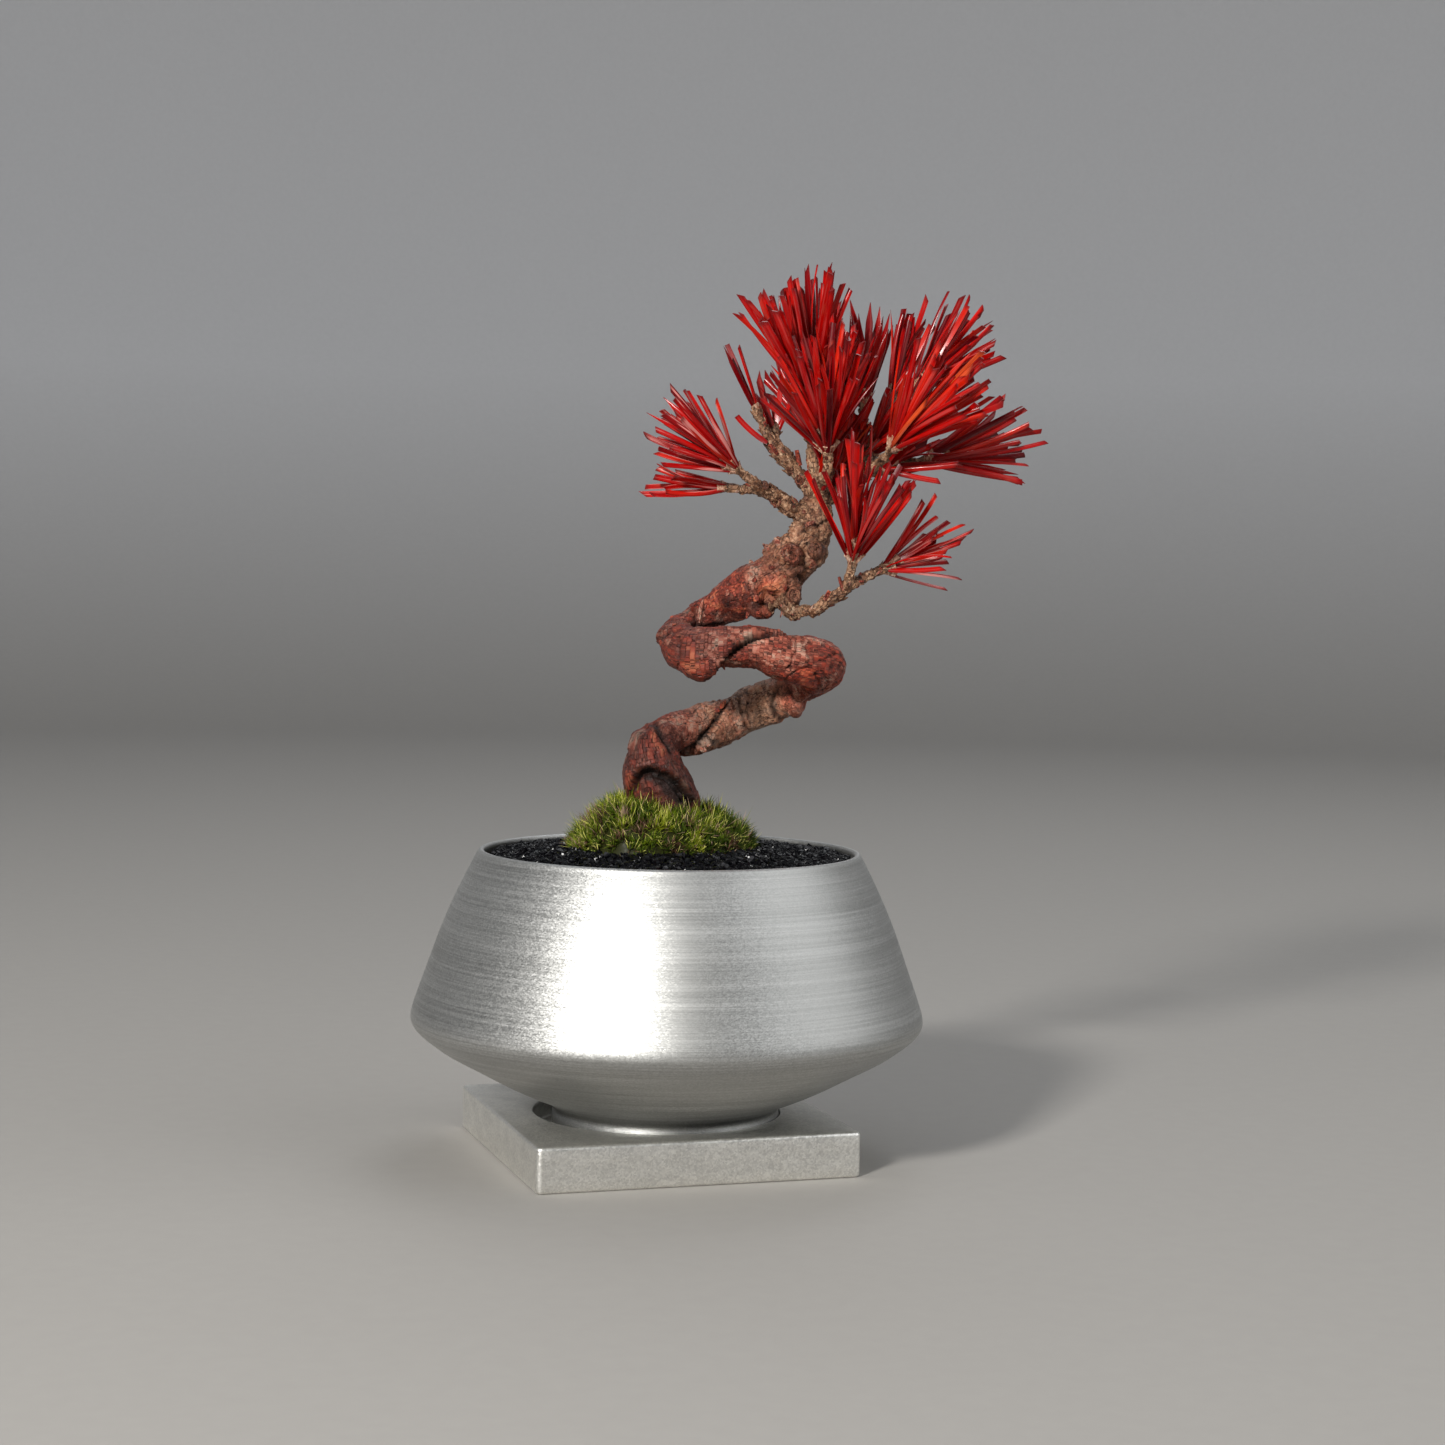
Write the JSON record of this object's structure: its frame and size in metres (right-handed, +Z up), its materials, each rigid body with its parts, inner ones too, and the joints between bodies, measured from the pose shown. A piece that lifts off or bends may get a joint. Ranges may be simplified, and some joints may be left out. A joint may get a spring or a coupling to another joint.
{
  "type": "japanese black pine bonsai",
  "caption": "Miniature pine bonsai with a coiled trunk and tufts of red needles, planted with moss and gravel in a turned metal pot on a square plate.",
  "frame": {"origin": "centre of the plate's underside, where the object rests", "axes": "+Z up along the pot's axis; X and Y parallel to the plate's sides; the tree's front faces about -Y, turned 16.9 degrees towards -X"},
  "size_m": [0.1208, 0.1, 0.1733],
  "materials": {
    "satin_metal": "bead-blasted satin",
    "brushed_metal": "lathe-turned and brushed round the axis",
    "net_plastic": "matte",
    "soil": "rough granular",
    "black_gravel": "glossy grains",
    "moss": "soft strands",
    "bark": "rough twisted bark",
    "red_needles": "glossy"
  },
  "bodies": {
    "root": {"plate": "satin_metal", "pot": "brushed_metal", "drain_mesh": "net_plastic", "soil": "soil", "gravel": "black_gravel", "moss": "moss", "tree": "bark", "needles_left_upper": "red_needles", "needles_left_lower": "red_needles", "needles_lower_centre": "red_needles", "needles_lower_right": "red_needles", "needles_far_right": "red_needles", "needles_right_front": "red_needles", "needles_upper_right": "red_needles", "needles_upper_mid": "red_needles", "needles_pointed": "red_needles", "needles_top": "red_needles", "needles_upper_left": "red_needles", "needles_centre_upper": "red_needles", "needles_centre_front": "red_needles", "needles_shoot_tip": "red_needles", "needles_shoot_side": "red_needles", "needles_back_top": "red_needles", "needles_back_right": "red_needles", "needles_back_left": "red_needles"}
  },
  "joints": []
}
